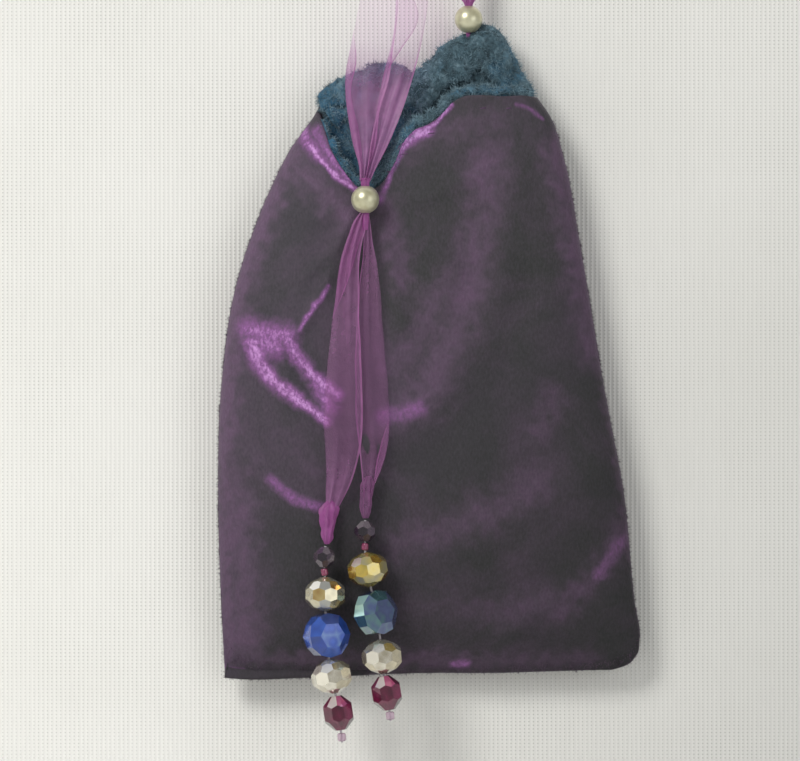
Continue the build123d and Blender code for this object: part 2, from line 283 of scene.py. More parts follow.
def make_stage():
    wall_y = CAD_BOX[1].y + WALL_GAP
    floor_z = CAD_BOX[0].z - FLOOR_DROP
    reach = STAGE_REACH
    plane("backdrop", [(-reach, wall_y, floor_z), (reach, wall_y, floor_z),
                       (reach, wall_y, reach), (-reach, wall_y, reach)], wall_material())
    plane("floor", [(-reach, -reach, floor_z), (reach, -reach, floor_z),
                    (reach, reach, floor_z), (-reach, reach, floor_z)], floor_material())


# ---------------------------------------------------------------- mesh helpers
def new_piece(name, vertices, faces, material, smooth=True):
    mesh = bpy.data.meshes.new(name)
    mesh.from_pydata([tuple(v) for v in vertices], [], faces)
    mesh.materials.append(material)
    mesh.validate()
    if smooth:
        mesh.polygons.foreach_set("use_smooth", [True] * len(mesh.polygons))
    mesh.update()
    made = bpy.data.objects.new(name, mesh)
    bpy.context.collection.objects.link(made)
    return made


def paint(piece, name, values):
    attribute = piece.data.attributes.new(name, "FLOAT", "POINT")
    attribute.data.foreach_set("value", np.asarray(values, np.float32))


def grid_faces(rows, columns, offset=0, flip=False):
    faces = []
    for i in range(rows - 1):
        for j in range(columns - 1):
            a = offset + i * columns + j
            quad = (a, a + 1, a + columns + 1, a + columns)
            faces.append(quad[::-1] if flip else quad)
    return faces


def smooth_line(points, count):
    """A smooth NURBS line through control points in the row frame, as evenly spaced points."""
    curve = bpy.data.curves.new("route", "CURVE")
    curve.dimensions = "3D"
    curve.resolution_u = 24
    spline = curve.splines.new("NURBS")
    spline.points.add(len(points) - 1)
    for point, place in zip(spline.points, points):
        point.co = (*place, 1)
    spline.order_u = 3
    spline.use_endpoint_u = True
    holder = bpy.data.objects.new("route", curve)
    mesh = bpy.data.meshes.new_from_object(holder)
    line = np.array([v.co for v in mesh.vertices])
    bpy.data.objects.remove(holder)
    bpy.data.curves.remove(curve)
    bpy.data.meshes.remove(mesh)
    steps = np.linalg.norm(np.diff(line, axis=0), axis=1)
    along = np.concatenate([[0], np.cumsum(steps)])
    want = np.linspace(0, along[-1], count)
    return np.stack([np.interp(want, along, line[:, k]) for k in range(3)], axis=1), along[-1]


# ---------------------------------------------------------------- pouch outline
# Outline in millimetres: (height, x) of each side, and (x, height) of the lip and the rear rim.
LEFT_SIDE = [(0, -44.0), (18, -44.9), (36.9, -45.4), (62.6, -44.6), (81.9, -41.8), (92.6, -38.6)]
LEFT_SIDE += [(103.3, -34.3), (111.9, -30.0), (120.0, -24.4), (130, -20.5)]
RIGHT_SIDE = [(0, 37.5), (1.2, 41.6), (3.4, 44.2), (6.9, 45.0), (15.4, 43.9), (36.9, 41.8), (60.4, 37.5)]
RIGHT_SIDE += [(79.7, 34.3), (92.6, 32.1), (109.7, 28.9), (119.4, 25.7), (124.0, 22.6), (130, 20.5)]
VELVET_LIP = [(-25, 121.5), (-23.4, 118.0), (-21.2, 111.9), (-18.4, 107.2), (-15.6, 104.0), (-13.6, 103.2)]
VELVET_LIP += [(-11.4, 103.7), (-9.0, 106.2), (-6.9, 109.9), (-5.4, 113.4), (-3.4, 115.8), (-0.7, 117.0)]
VELVET_LIP += [(2.5, 119.3), (4.8, 121.8), (7.2, 123.1), (10, 123.4), (16, 123.2), (20, 123.4), (26, 122.6)]
REAR_RIM = [(-26, 121.0), (-22.4, 124.4), (-18.2, 127.4), (-13.0, 129.6), (-8.6, 130.7), (-3.9, 128.0)]
REAR_RIM += [(-2.1, 128.6), (2.1, 132.2), (5.4, 135.2), (9.6, 137.4), (12.6, 137.8), (14.6, 135.2)]
REAR_RIM += [(17.2, 130.6), (19.8, 126.2), (23.6, 122.0)]
LOW_EDGE = [(-46, -1.0), (-41, -1.5), (-26, -1.2), (-4, -0.3), (16, -0.2), (34, 0.4), (46, 0.5)]


def curve_through(points):
    """A smooth function through (input, output) pairs, by cubic Hermite spans."""
    xs, ys = np.array(points, float).T
    slope = np.gradient(ys, xs)

    def value(x):
        x = np.clip(x, xs[0], xs[-1])
        i = np.clip(np.searchsorted(xs, x) - 1, 0, len(xs) - 2)
        width = xs[i + 1] - xs[i]
        t = (x - xs[i]) / width
        return (ys[i] * (1 + 2 * t) * (1 - t) ** 2 + ys[i + 1] * t * t * (3 - 2 * t)
                + width * (slope[i] * t * (1 - t) ** 2 - slope[i + 1] * t * t * (1 - t)))

    return value


left_side, right_side = curve_through(LEFT_SIDE), curve_through(RIGHT_SIDE)
velvet_lip, rear_rim = curve_through(VELVET_LIP), curve_through(REAR_RIM)
low_line = curve_through(LOW_EDGE)


def across(u, h, inset=0.0):
    """Where a share u of the way from the left side to the right one is, at height h."""
    low, high = left_side(h) + inset, right_side(h) - inset
    return low + (high - low) * u


EDGE_HEIGHTS = (90.0, 145.0)  # every upper edge lies between these


def column_top(u, edge, inset):
    """Height at which each column u of the cloth meets its upper edge."""
    low, high = (np.full(len(u), height) for height in EDGE_HEIGHTS)
    for _ in range(40):
        h = (low + high) / 2
        under = h < edge(across(u, h, inset))
        low, high = np.where(under, h, low), np.where(under, high, h)
    return low


def cloth_grid(edge, columns, rows, inset=0.0, bottom=0.0):
    """x, h, u and v of a cloth panel's points, closer together near the sides and the edge."""
    u = 0.5 - 0.5 * np.cos(np.linspace(0, math.pi, columns))
    u = 0.55 * u + 0.45 * np.linspace(0, 1, columns)
    v = np.linspace(0, 1, rows)
    v = 0.75 * v + 0.25 * smoothstep(v)
    top = column_top(u, edge, inset)
    foot = bottom + inset + low_line(across(u, 0.0, inset))
    h = foot + v[:, None] * (top - foot)[None, :]
    return across(u, h, inset), h, np.broadcast_to(u, h.shape), np.broadcast_to(v[:, None], h.shape)


def near(x, h, line, width):
    """1 on a line of (x, height) points, falling off smoothly over the given width."""
    best = np.full(np.shape(x), 1e9)
    for (ax, ah), (bx, bh) in zip(line, line[1:]):
        dx, dh = bx - ax, bh - ah
        t = np.clip(((x - ax) * dx + (h - ah) * dh) / (dx * dx + dh * dh), 0, 1)
        best = np.minimum(best, (x - ax - t * dx) ** 2 + (h - ah - t * dh) ** 2)
    return np.exp(-best / width**2)


NOISE_GAIN = 1.6  # brings the noise's usual reach to about 1


def wrinkles(x, h, scale, seed, stretch=1.0):
    """Smooth noise from -1 to 1, in millimetres, stretched along the height."""
    tall = scale * stretch
    flat = [noise.noise(Vector((a / scale, b / tall, seed))) for a, b in zip(x.flat, h.flat)]
    return np.array(flat).reshape(x.shape) * NOISE_GAIN


# ---------------------------------------------------------------- pouch depth
SEAM_Y = 1.8  # where front and back meet at the sides
BACK_FACE = 3.6
VELVET_T = 1.0
LINING_T = 1.4
LINING_INSET, LINING_FOOT = 2.2, 3.6  # how far the lining stays inside the side and bottom seams
HINGE_HEIGHT = 70.0
BELLY = [(0, -0.6), (8, -4.4), (20, -7.2), (50, -9.4), (90, -8.6), (105, -8.0), (125, -6.6), (140, -5.6)]
belly = curve_through(BELLY)  # depth of the front's middle at each height
FRONT_CROWN, BACK_CROWN = 2.6, 3.4  # the higher, the flatter the panel's middle
NECK_PINCH = ([(-13.8, 101.5), (-13.7, 102.5)], 5.0)  # where the front pearl pulls the front in
PINCH_DEPTH = 1.3

# Folds in the front: a line of (x, height), its width and how far it stands out.
FRONT_FOLDS = [
    ([(-42, 70), (-37, 69), (-30, 61.5), (-20.4, 53), (-12, 47)], 3.0, 1.5),
    ([(-31, 72), (-26, 65.5), (-21.4, 58), (-19, 50)], 2.0, 0.9),
    ([(-35.5, 66), (-29, 66), (-24.5, 60)], 1.8, -0.8),
    ([(-22, 84), (-27.4, 73.7), (-36, 66)], 1.2, 0.6),
    ([(-17, 98), (-22.1, 81.9), (-27.4, 73.7)], 2.0, 0.5),
    ([(-42, 47), (-33.9, 41), (-24, 34.7), (-14, 30)], 3.2, 0.8),
    ([(-40, 30), (-30, 27), (-22, 22)], 4.0, -0.6),
    ([(-12, 50), (-2, 57), (4.3, 63), (11, 73), (15, 84), (17, 104)], 4.2, 0.9),
    ([(-2, 44), (8, 52), (16, 64), (22, 84)], 5.0, -0.7),
    ([(6, 27), (18, 33), (40, 46)], 5.0, 0.7),
    ([(12, 15), (26, 20), (42, 30)], 4.6, -0.6),
    ([(-11.5, 101), (-4, 92), (6, 86)], 1.6, 0.6),
    ([(-12, 99), (-8, 88), (-6, 74)], 1.5, 0.5),
    ([(-15.8, 101), (-24, 97), (-32, 98)], 1.5, 0.5),
    ([(-15.6, 99), (-20, 91), (-27, 84)], 1.3, 0.5),
    ([(-12, 103), (-2, 101), (10, 106)], 1.8, 0.5),
    ([(24, 121), (27, 108), (31, 90)], 2.6, 0.6),
    ([(-14, 12), (-8, 4), (-6, 0)], 3.0, 0.5),
    ([(14, 0), (16, 6), (22, 12)], 2.6, 0.6),
]
# Painted sheen highlights, where the pile lies over and catches the light: a line, its width and how bright
# it is.
FRONT_PAINTED_SHEEN = [
    ([(-38.4, 73.4), (-34.5, 72.4), (-30.6, 71.8)], 2.5, 0.60),
    ([(-37.4, 70.8), (-33.2, 69.8)], 2.7, 0.60),
    ([(-38.0, 70.5), (-36.2, 66.0)], 1.9, 0.80),
    ([(-36.2, 66.0), (-33.0, 62.0), (-28.2, 58.4)], 1.5, 0.86),
    ([(-28.2, 58.4), (-24.5, 55.8), (-21.9, 53.6)], 1.0, 0.95),
    ([(-30.2, 71.0), (-28.6, 67.8), (-25.9, 64.6)], 1.5, 0.70),
    ([(-25.9, 64.6), (-22.4, 61.6), (-19.6, 59.4)], 1.2, 0.86),
    ([(-23.8, 61.4), (-21.4, 56.6)], 1.8, 0.62),
    ([(-21.6, 82.5), (-24.4, 78.6), (-28.1, 73.2)], 0.50, 0.62),
    ([(-34, 41.4), (-31.4, 39.2), (-28.9, 37.1), (-24.5, 35.8), (-21, 35.4)], 1.1, 0.40),
    ([(-34, 41.4), (-29, 37.4)], 0.6, 0.35),
    ([(-10, 55), (-6.4, 55.2), (-2.5, 56.5)], 1.7, 0.34),
    ([(-27.6, 116.6), (-26.2, 113.6), (-23.8, 110.6)], 1.5, 0.62),
    ([(-25.6, 112.8), (-22.9, 109.2), (-19.6, 105.7), (-16.6, 103.8)], 0.60, 1.0),
    ([(-22.2, 111.6), (-19.4, 107.8), (-16.8, 105.0)], 0.9, 0.60),
    ([(-24.4, 116.0), (-21.8, 110.4), (-18.8, 106.2)], 1.5, 0.42),
    ([(-16.6, 103.8), (-14.8, 102.6)], 0.7, 0.70),
    ([(-10.6, 100.6), (-9.7, 103.6)], 0.8, 0.38),
    ([(-9.7, 103.6), (-7.7, 107.6), (-6.3, 110.8)], 0.5, 0.60),
    ([(-6.3, 110.8), (-5.0, 113.2)], 0.7, 0.80),
    ([(-4.8, 113.6), (-3.0, 115.0), (-0.6, 115.8)], 1.15, 1.0),
    ([(-0.6, 116.2), (2.4, 118.5), (4.6, 121.3)], 0.5, 0.86),
    ([(18.6, 121.6), (21.6, 120.4), (24, 118.4)], 0.5, 0.28),
    ([(5, 1.6), (8, 2.0)], 0.8, 0.4),
    ([(36, 21), (41, 28)], 1.6, 0.18),
    ([(-44.6, 1), (-40, 0.2)], 0.7, 0.3),
]
# Places where the pile leans enough to look purple, partly painted sheen, as along the edges where the cloth
# turns away.
FRONT_LEAN_AND_SHEEN = [
    ([(-9, 54), (-2, 58), (2, 66), (6, 76), (9, 88), (12, 100), (12.4, 109)], 4.6, 0.66),
    ([(-8, 66), (-2, 72), (4, 84)], 3.4, 0.55),
    ([(-7, 27), (4, 31), (14, 35), (22, 40)], 4.0, 0.50),
    ([(24, 52), (26, 60)], 2.6, 0.45),
    ([(-6, 14), (10, 13), (24, 16)], 3.6, 0.35),
    ([(28, 13), (35, 21), (42.5, 32)], 2.6, 0.55),
    ([(27, 112), (30, 100), (33, 84), (36, 68)], 3.4, 0.75),
    ([(38, 60), (41, 44), (43, 26)], 1.6, 0.55),
    ([(-30, 112), (-36, 97), (-41.5, 80), (-44, 62), (-44.5, 40), (-44, 4)], 2.6, 0.85),
    ([(-42, 42), (-40, 22), (-39, 6)], 4.2, 0.60),
    ([(-31, 110), (-26, 106), (-21, 101), (-17, 98)], 3.0, 0.65),
    ([(-9, 100), (-8, 92), (-6, 84)], 2.2, 0.6),
    ([(-4, 112), (4, 116), (14, 118)], 2.6, 0.35),
    ([(-40, 3), (-20, 3), (10, 2.5), (36, 3)], 1.8, 0.45),
    ([(-30, 50), (-26, 44)], 3.0, 0.25),
]

# The same for the back, which the photo doesn't show.
BACK_PAINTED_SHEEN = [
    ([(30, 92), (22, 84), (16, 80)], 1.4, 0.35),
    ([(-36, 50), (-28, 55), (-22, 64)], 1.6, 0.35),
    ([(34, 30), (26, 26), (16, 25)], 1.4, 0.30),
]
BACK_LEAN_AND_SHEEN = [
    ([(-30, 104), (-20, 92), (-14, 76), (-12, 60)], 4.5, 0.70),
    ([(14, 118), (20, 100), (22, 84)], 4.0, 0.60),
    ([(-34, 36), (-20, 30), (-2, 28), (14, 34)], 4.2, 0.60),
    ([(2, 92), (8, 72), (18, 56), (30, 48)], 4.0, 0.55),
    ([(-40, 84), (-43, 56), (-43, 20)], 3.0, 0.75),
    ([(30, 96), (37, 60), (41, 26)], 3.0, 0.75),
    ([(-38, 6), (-6, 9), (30, 7)], 3.0, 0.50),
]


def painted(x, h, strokes, ragged):
    """The strongest of some strokes at each point, with ragged edges."""
    px = x + ragged * wrinkles(x, h, 2.2, 41.0)
    ph = h + ragged * wrinkles(x, h, 2.2, 47.0)
    total = np.zeros_like(x)
    for line, width, strength in strokes:
        total = np.maximum(total, strength * near(px, ph, line, width))
    return total


def rounding(share, power):
    """How far a panel stands out, from 0 at its two seams to 1 in its flat middle."""
    return (1 - np.abs(2 * share - 1) ** power) ** (1 / power)


def risen(h, height, power):
    """How far a panel stands out, from 0 at the bottom seam to 1 at a height above it."""
    return (1 - np.clip(1 - h / height, 0, 1) ** power) ** (1 / power)


def front_depth(x, h, u):
    """Depth of the front velvet's outer face."""
    full = rounding(np.clip(u, 0, 1), FRONT_CROWN) * risen(h, 16, 2.4)
    y = SEAM_Y + (belly(h) - SEAM_Y) * full
    for line, width, height in FRONT_FOLDS:
        y = y - height * near(x, h, line, width) * np.sqrt(full)
    y = y - (0.55 * wrinkles(x, h, 17, 3.1, 1.6) + 0.22 * wrinkles(x, h, 6.5, 7.7, 1.3)) * full
    return y + PINCH_DEPTH * near(x, h, *NECK_PINCH)


def back_depth(x, h, u):
    """Depth of the back velvet's outer face: nearly flat, with its edges rounded forward."""
    full = rounding(np.clip(u, 0, 1), BACK_CROWN) * risen(h, 8, 3)
    return SEAM_Y + (BACK_FACE - SEAM_Y) * full + 0.25 * wrinkles(x, h, 15, 11.3) * full


# ---------------------------------------------------------------- materials
def velvet_material():
    """Panne velvet: nearly black where the pile stands, purple where it leans, with painted sheen highlights
    where it lies flat and painted window light over the view.
    """
    s = Shader("panne_velvet")
    mottle = s.noise(1500, 4, 0.65, 0.3, (1.0, 1.0, 0.7))
    clumps = s.noise(230, 4, 0.6, 1.2)
    fine = s.noise(2300, 3, 0.6, 0.0, (1.0, 1.0, 0.5))
    # painted sheen highlights where the pile lies flat, mottled
    painted_sheen = s.math("MULTIPLY", s.painted("painted_sheen"), s.ramp(mottle, (0.32, 0.50), (0.68, 1.42)))
    painted_sheen = s.math("MULTIPLY", painted_sheen, s.ramp(clumps, (0.30, 0.78), (0.60, 1.06)))
    # purple of the leaning pile, partly painted sheen
    lean = s.math("ADD", s.painted("lean"), s.ramp(s.noise(34, 5, 0.62, 1.4), (0.42, 0.0), (0.80, 0.55)))
    lean = s.math("MULTIPLY", lean, s.ramp(clumps, (0.25, 0.55), (0.70, 1.2)))
    broad = s.ramp(s.noise(15, 3), (0.40, 0.0), (0.65, 1.0))
    deep = s.mix(broad, (0.034, 0.036, 0.035), (0.042, 0.038, 0.046))
    deep = s.mix(s.ramp(fine, (0.35, 0.0), (0.7, 0.5)), deep, (0.070, 0.060, 0.074))
    plum = s.mix(s.ramp(fine, (0.3, 0.0), (0.7, 0.6)), (0.092, 0.056, 0.096), (0.132, 0.092, 0.140))
    deep = s.mix(s.ramp(lean, (0.0, 0.0), (0.85, 1.0)), deep, plum)
    # colour of the painted sheen highlights
    lit = s.mix(s.ramp(painted_sheen, (0.55, 0.0), (1.15, 1.0)), (0.285, 0.115, 0.315), (0.58, 0.30, 0.64))
    aside, above = s.place_in_view()
    glow = s.window_light((aside, -0.34), s.math("MULTIPLY", above, 0.26), 1.03, 0.70, 1.35)
    deep = s.mix(1.0, deep, glow, "MULTIPLY")
    colour = s.mix(s.ramp(painted_sheen, (0.03, 0.0), (0.58, 1.0)), deep, lit)
    s.set(Base_Color=colour, Roughness=0.8, Sheen_Weight=0.22, Sheen_Roughness=0.35)
    s.set(Sheen_Tint=(0.55, 0.46, 0.58, 1), Specular_IOR_Level=0.2)
    s.bump(s.math("ADD", fine, mottle), 0.35, 0.0004)
    return s.material


def plush_material():
    s = Shader("teal_plush")
    clump = s.noise(420, 5, 0.65, 0.8)
    broad = s.noise(70, 3, 0.5, 0.6)
    # random flecks of pile; the lightest tint paints glints where the crushed pile catches the light
    tints = [(0.32, (0.028, 0.050, 0.060)), (0.52, (0.086, 0.148, 0.182)), (0.74, (0.23, 0.33, 0.38))]
    base = s.ramp(clump, *tints)
    colour = s.mix(s.ramp(broad, (0.46, 0.0), (0.66, 0.8)), base, (0.036, 0.150, 0.262))
    s.set(Base_Color=colour, Roughness=0.9, Sheen_Weight=0.40, Sheen_Roughness=0.5)
    s.set(Sheen_Tint=(0.45, 0.58, 0.68, 1), Specular_IOR_Level=0.2)
    s.bump(clump, 0.8, 0.0008)
    return s.material


def pile_material(name, low, high):
    s = Shader(name)
    colour = s.ramp(s.noise(250, 3), (0.3, low), (0.7, high))
    s.set(Base_Color=colour, Roughness=0.8, Sheen_Weight=0.3, Sheen_Tint=(*high, 1))
    return s.material


def organza_material(name, body, opacity):
    """Sheer ribbon: what isn't thread lets the light straight through."""
    s = Shader(name)
    weight = s.painted("weight")
    tone = s.mix(s.ramp(s.painted("gleam"), (0.0, 0.0), (1.0, 1.0)), body, (0.46, 0.16, 0.40))
    s.set(Base_Color=tone, Roughness=0.42, Sheen_Weight=0.3, Sheen_Tint=(0.9, 0.6, 0.9, 1))
    translucent = s.nodes.new("ShaderNodeBsdfTranslucent")
    s.links.new(tone, translucent.inputs["Color"])
    cloth = s.nodes.new("ShaderNodeMixShader")
    cloth.inputs[0].default_value = 0.42
    s.links.new(s.bsdf.outputs[0], cloth.inputs[1])
    s.links.new(translucent.outputs[0], cloth.inputs[2])
    clear = s.nodes.new("ShaderNodeBsdfTransparent")
    clear.inputs["Color"].default_value = (0.97, 0.90, 0.97, 1)
    cover = s.math("MULTIPLY", weight, opacity)
    cover = s.math("MULTIPLY", cover, s.ramp(s.noise(420, 4, 0.6), (0.30, 0.80), (0.70, 1.08)))
    mixer = s.nodes.new("ShaderNodeMixShader")
    s.links.new(cover, mixer.inputs[0])
    s.links.new(clear.outputs[0], mixer.inputs[1])
    s.links.new(cloth.outputs[0], mixer.inputs[2])
    s.links.new(mixer.outputs[0], s.nodes["Material Output"].inputs["Surface"])
    return s.material


def pearl_material():
    s = Shader("champagne_pearl")
    tone = s.ramp(s.noise(500, 2), (0.35, (0.52, 0.49, 0.31)), (0.65, (0.64, 0.62, 0.44)))
    s.set(Base_Color=tone, Metallic=0.62, Roughness=0.36, Coat_Weight=0.6, Coat_Roughness=0.20)
    s.set(Sheen_Weight=0.2, Sheen_Tint=(1.0, 0.98, 0.85, 1))
    return s.material


GLINT_FROM = (-0.45, -0.80, 0.40)  # facets that face this way catch the window


def glass_material(name, stops, metallic, roughness, clear, glint, flash_colour):
    """Coated cut glass: every facet takes its tint from the way it faces, the coating's colour with a painted
    reflection, and facets facing the window flash with a painted glint.
    """
    s = Shader(name)
    normal = s.nodes.new("ShaderNodeNewGeometry").outputs["True Normal"]
    split = s.nodes.new("ShaderNodeTexNoise")
    split.inputs["Scale"].default_value = 2.4
    split.inputs["Detail"].default_value = 1.0
    s.links.new(normal, split.inputs["Vector"])
    # painted reflections inside the glass
    painted_inner_reflection = s.math("MULTIPLY", s.math("SUBTRACT", s.cells(520).outputs["Distance"], 0.35), 0.10)
    # each facet's tint: the coating's colour with a painted reflection
    colour = s.ramp(s.math("ADD", split.outputs["Fac"], painted_inner_reflection), *stops)
    facing = s.nodes.new("ShaderNodeVectorMath")
    facing.operation = "DOT_PRODUCT"
    facing.inputs[1].default_value = Vector(GLINT_FROM).normalized()
    s.links.new(normal, facing.inputs[0])
    # painted glint where a facet faces the window
    flash = s.ramp(facing.outputs["Value"], (glint, 0.0), (min(glint + 0.05, 1.0), 1.0))
    s.set(Base_Color=s.mix(flash, colour, flash_colour), Metallic=metallic, Roughness=roughness)
    s.set(IOR=1.56, Coat_Weight=1.0, Coat_Roughness=0.03, Transmission_Weight=clear)
    return s.material


def plain_material(name, colour, roughness, **more):
    return Shader(name).set(Base_Color=(*colour, 1), Roughness=roughness, **more).material


DAYLIGHT = (0.93, 0.92, 0.90)
# Each coated glass: its tints by the way a facet faces (coating colour, painted reflection), then how
# metallic, rough and clear it is, how squarely a facet must face the window for a painted glint, and the
# glint's colour.
CUT_GLASS = {
    "smoky": ([(0.35, (0.016, 0.008, 0.016)), (0.50, (0.07, 0.04, 0.075)), (0.62, (0.16, 0.12, 0.15))],
              0.15, 0.06, 0.35, 0.93, DAYLIGHT),
    "amber": ([(0.34, (0.34, 0.17, 0.015)), (0.42, (0.58, 0.42, 0.06)), (0.49, (0.30, 0.25, 0.035)),
               (0.55, (0.62, 0.50, 0.14)), (0.62, (0.48, 0.44, 0.26))], 0.50, 0.12, 0.20, 0.94, DAYLIGHT),
    "pale_gold": ([(0.34, (0.42, 0.24, 0.06)), (0.43, (0.66, 0.52, 0.22)), (0.49, (0.34, 0.32, 0.24)),
                   (0.56, (0.70, 0.64, 0.44)), (0.63, (0.46, 0.46, 0.42))], 0.60, 0.12, 0.10, 0.90, DAYLIGHT),
    "blue": ([(0.34, (0.02, 0.05, 0.20)), (0.42, (0.020, 0.060, 0.34)), (0.50, (0.045, 0.13, 0.56)),
              (0.57, (0.03, 0.08, 0.38)), (0.64, (0.16, 0.28, 0.46))], 0.42, 0.10, 0.0, 0.95, DAYLIGHT),
    "peacock": ([(0.34, (0.03, 0.09, 0.11)), (0.42, (0.07, 0.17, 0.18)), (0.48, (0.055, 0.080, 0.20)),
                 (0.56, (0.09, 0.13, 0.28)), (0.64, (0.14, 0.28, 0.26))],
                0.50, 0.10, 0.0, 0.84, (0.50, 0.80, 0.80)),
    "champagne": ([(0.35, (0.52, 0.40, 0.12)), (0.44, (0.74, 0.67, 0.48)), (0.52, (0.50, 0.45, 0.33)),
                   (0.60, (0.86, 0.82, 0.70))], 0.72, 0.14, 0.0, 0.90, DAYLIGHT),
    "garnet": ([(0.36, (0.030, 0.004, 0.014)), (0.46, (0.13, 0.008, 0.040)), (0.56, (0.34, 0.025, 0.12)),
                (0.64, (0.50, 0.08, 0.24))], 0.20, 0.06, 0.35, 0.93, DAYLIGHT),
}


def make_materials():
    looks = {
        "velvet": velvet_material(),
        "plush": plush_material(),
        "pile": pile_material("teal_pile", (0.045, 0.080, 0.100), (0.25, 0.38, 0.45)),
        "fuzz": pile_material("velvet_pile", (0.035, 0.022, 0.036), (0.12, 0.075, 0.125)),
        "organza": organza_material("organza", (0.53, 0.235, 0.49), 0.60),
        "gathered_organza": organza_material("gathered_organza", (0.46, 0.12, 0.40), 0.93),
        "dim_organza": organza_material("dim_organza", (0.30, 0.13, 0.28), 0.62),
        "thread": plain_material("sewing_thread", (0.10, 0.05, 0.11), 0.8),
        "clear_thread": plain_material("bead_thread", (0.75, 0.70, 0.76), 0.25, Transmission_Weight=0.6),
        "pearl": pearl_material(),
        "magenta": plain_material("magenta_glass", (0.34, 0.05, 0.14), 0.08,
                                  Transmission_Weight=0.35, Coat_Weight=1.0),
        "pink": plain_material("pink_glass", (0.74, 0.56, 0.68), 0.08,
                               Transmission_Weight=0.65, Coat_Weight=1.0),
    }
    looks.update({look: glass_material(look + "_glass", *values) for look, values in CUT_GLASS.items()})
    return looks


# ---------------------------------------------------------------- cloth panels
def shifted(x, h, y, distance):
    """A height field's points moved back, square to its surface."""
    dy_dv, dy_du = np.gradient(y)
    dh_dv, dh_du = np.gradient(h)
    dx_dv, dx_du = np.gradient(x)
    along_v = np.stack([dx_dv, dy_dv, dh_dv], -1)
    along_u = np.stack([dx_du, dy_du, dh_du], -1)
    normal = np.cross(along_v, along_u)
    normal /= np.maximum(np.linalg.norm(normal, axis=-1, keepdims=True), 1e-9)
    return x + normal[..., 0] * distance, h + normal[..., 2] * distance, y + normal[..., 1] * distance


def cloth_piece(name, x, h, y, thickness, inward, material):
    """A closed sheet between a surface of points and the same surface moved square to itself."""
    rows, columns = x.shape
    bx, bh, by = shifted(x, h, y, thickness * inward)
    front = np.stack([x, y, h], -1).reshape(-1, 3)
    behind = np.stack([bx, by, bh], -1).reshape(-1, 3)
    points = np.concatenate([front, behind]) * MM
    points[:, 2] += BOTTOM
    count = rows * columns
    faces = grid_faces(rows, columns, 0, inward < 0) + grid_faces(rows, columns, count, inward > 0)
    rim = [i * columns for i in range(rows)] + [(rows - 1) * columns + j for j in range(1, columns)]
    rim += [i * columns + columns - 1 for i in range(rows - 2, -1, -1)] + list(range(columns - 2, 0, -1))
    for a, b in zip(rim, rim[1:] + rim[:1]):
        faces.append((a, b, b + count, a + count) if inward > 0 else (b, a, a + count, b + count))
    return new_piece(name, points, faces, material)


SEAM_HOLD = 0.30  # share of the pouch's width over which each side seam holds the cloth back


def soften_blend(piece):
    """The opening front stays joined to the sides, so its turn fades towards the side seams."""
    attribute = piece.data.attributes["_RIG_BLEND"]
    weight = np.empty(len(piece.data.vertices), np.float32)
    attribute.data.foreach_get("value", weight)
    place = np.empty(len(piece.data.vertices) * 3, np.float32)
    piece.data.vertices.foreach_get("co", place)
    place = place.reshape(-1, 3) / MM
    h = place[:, 2] - BOTTOM / MM
    low, high = left_side(h), right_side(h)
    share = np.clip((place[:, 0] - low) / (high - low), 0, 1)
    weight *= smoothstep(np.minimum(share, 1 - share) / SEAM_HOLD)
    attribute.data.foreach_set("value", weight)


def opens_with_mouth(piece):
    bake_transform(piece, "root", "front_lip", start=at(0, HINGE_HEIGHT), end=at(0, 100))
    soften_blend(piece)


def make_velvet(materials):
    columns, rows = ((230, 300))
    x, h, u, v = cloth_grid(velvet_lip, columns, rows)
    y = front_depth(x, h, u)
    roll = np.exp(-((1 - v) / 0.012) ** 2)
    y = y - 0.5 * roll * rounding(np.clip(u, 0, 1), FRONT_CROWN)
    front = cloth_piece("velvet_front", x, h, y, VELVET_T, 1, materials["velvet"])
    painted_sheen, lean = painted(x, h, FRONT_PAINTED_SHEEN, 0.28), painted(x, h, FRONT_LEAN_AND_SHEEN, 1.6)
    # painted sheen highlights, weaker on the inner face
    paint(front, "painted_sheen", np.concatenate([painted_sheen.ravel(), 0.4 * painted_sheen.ravel()]))
    # purple of the leaning pile, partly painted sheen along the edges
    paint(front, "lean", np.concatenate([lean.ravel(), lean.ravel()]))
    opens_with_mouth(front)
    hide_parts("velvet_front_panel", "velvet_front_lip")

    x, h, u, v = cloth_grid(lambda a: rear_rim(a) - 1.4, columns // 2, rows // 2)
    y = back_depth(x, h, u)
    back = cloth_piece("velvet_back", x, h, y, VELVET_T, -1, materials["velvet"])
    painted_sheen, lean = painted(x, h, BACK_PAINTED_SHEEN, 0.4), painted(x, h, BACK_LEAN_AND_SHEEN, 1.6)
    # painted sheen highlights on the back
    paint(back, "painted_sheen", np.concatenate([painted_sheen.ravel(), painted_sheen.ravel()]))
    # purple of the leaning pile, partly painted sheen along the edges
    paint(back, "lean", np.concatenate([lean.ravel(), lean.ravel()]))
    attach(back, "root")
    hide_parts("velvet_back_panel")
    return front


def lining_front_depth(x, h):
    """Depth of the front lining's outer face: behind the velvet, and clear of the back at the seams."""
    share = (x - left_side(h)) / (right_side(h) - left_side(h))
    velvet = front_depth(x, h, share)
    return np.minimum(velvet + VELVET_T + 0.15, np.maximum(velvet + 0.6, SEAM_Y - LINING_T - 0.3))


LUMP = 2.2  # size of the lumps in a soft roll


